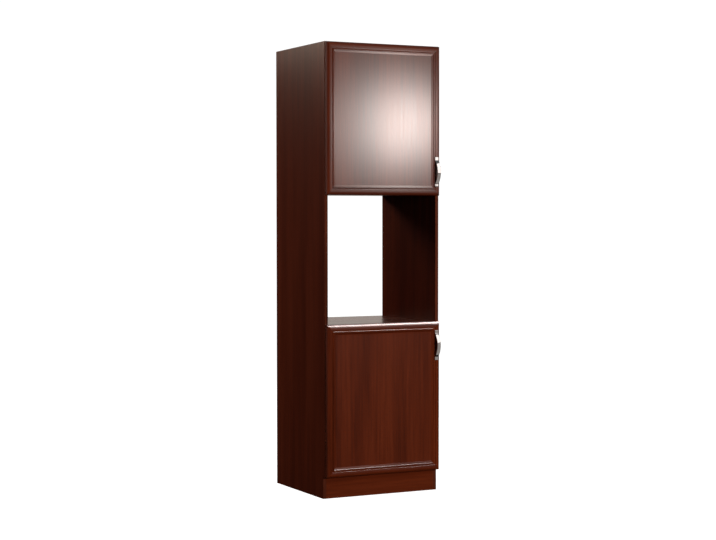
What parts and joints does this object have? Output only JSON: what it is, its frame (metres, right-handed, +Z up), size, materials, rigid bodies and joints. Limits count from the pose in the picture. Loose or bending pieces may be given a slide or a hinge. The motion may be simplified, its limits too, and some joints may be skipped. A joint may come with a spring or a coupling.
{
  "type": "tall oven housing unit",
  "caption": "Tall kitchen cabinet with an open oven niche between an upper and a lower cupboard, each with a framed door on cup hinges and a bow handle.",
  "frame": {"origin": "centre of the bounding box at floor level", "axes": "+Z up; the doors face -Y and the rear of the boards faces +Y; +X to the right seen from the front"},
  "size_m": [0.6, 0.578, 2.1],
  "materials": {
    "mahogany_board": "satin mahogany foil on chipboard",
    "mahogany_door": "glossy mahogany foil, vertical grain",
    "mahogany_edging": "satin edging strip",
    "brown_hardboard": "thin hardboard, printed",
    "beech_wood": "fluted beech dowel",
    "nickel_steel": "nickel-plated pressed steel",
    "zinc_metal": "zinc-plated",
    "polished_chrome": "polished chrome",
    "white_plastic": "moulded nylon",
    "clear_rubber": "soft clear bumper"
  },
  "bodies": {
    "carcass": {"left_side_panel": "mahogany_board", "right_side_panel": "mahogany_board", "top_panel": "mahogany_board", "niche_top_panel": "mahogany_board", "oven_shelf": "mahogany_board", "bottom_panel": "mahogany_board", "plinth_board": "mahogany_board", "upper_back_panel": "brown_hardboard", "lower_back_panel": "brown_hardboard", "upper_shelf": "mahogany_board", "lower_shelf": "mahogany_board", "left_edging": "mahogany_edging", "right_edging": "mahogany_edging", "board_edgings": "mahogany_edging", "upper_shelf_supports": "white_plastic", "lower_shelf_supports": "white_plastic", "cam_locks": "zinc_metal", "cam_bolts": "zinc_metal", "wood_dowels": "beech_wood", "plinth_blocks": "white_plastic", "plinth_screws": "zinc_metal", "wall_brackets": "nickel_steel", "wall_bracket_screws": "zinc_metal", "upper_hinge_plates": "nickel_steel", "upper_hinge_arms": "nickel_steel", "upper_arm_pins": "zinc_metal", "upper_plate_screws": "zinc_metal", "upper_arm_screws": "zinc_metal", "lower_hinge_plates": "nickel_steel", "lower_hinge_arms": "nickel_steel", "lower_arm_pins": "zinc_metal", "lower_plate_screws": "zinc_metal", "lower_arm_screws": "zinc_metal"},
    "upper_links": {"upper_hinge_links": "nickel_steel"},
    "upper_door": {"upper_left_stile": "mahogany_door", "upper_right_stile": "mahogany_door", "upper_top_rail": "mahogany_door", "upper_bottom_rail": "mahogany_door", "upper_centre_panel": "mahogany_door", "upper_handle": "polished_chrome", "upper_handle_screws": "zinc_metal", "upper_bumpers": "clear_rubber", "upper_hinge_cups": "nickel_steel", "upper_cup_pins": "zinc_metal", "upper_cup_screws": "zinc_metal"},
    "lower_links": {"lower_hinge_links": "nickel_steel"},
    "lower_door": {"lower_left_stile": "mahogany_door", "lower_right_stile": "mahogany_door", "lower_top_rail": "mahogany_door", "lower_bottom_rail": "mahogany_door", "lower_centre_panel": "mahogany_door", "lower_handle": "polished_chrome", "lower_handle_screws": "zinc_metal", "lower_bumpers": "clear_rubber", "lower_hinge_cups": "nickel_steel", "lower_cup_pins": "zinc_metal", "lower_cup_screws": "zinc_metal"}
  },
  "joints": [
    {"name": "upper_link_pivot", "type": "hinge", "parent": "carcass", "child": "upper_links", "pos_m": [-0.2662, -0.2366, 1.748], "axis": [0, 0, 1], "range_deg": [0, 23.75]},
    {"name": "upper_door_swing", "type": "hinge", "parent": "upper_links", "child": "upper_door", "pos_m": [-0.2885, -0.2458, 1.748], "axis": [0, 0, -1], "range_deg": [0, 118.75]},
    {"name": "lower_link_pivot", "type": "hinge", "parent": "carcass", "child": "lower_links", "pos_m": [-0.2662, -0.2366, 0.452], "axis": [0, 0, 1], "range_deg": [0, 23.75]},
    {"name": "lower_door_swing", "type": "hinge", "parent": "lower_links", "child": "lower_door", "pos_m": [-0.2885, -0.2458, 0.452], "axis": [0, 0, -1], "range_deg": [0, 118.75]}
  ],
  "couplings": [
    {"joint": "upper_link_pivot", "follows": "upper_door_swing", "ratio": 0.2},
    {"joint": "lower_link_pivot", "follows": "lower_door_swing", "ratio": 0.2}
  ]
}
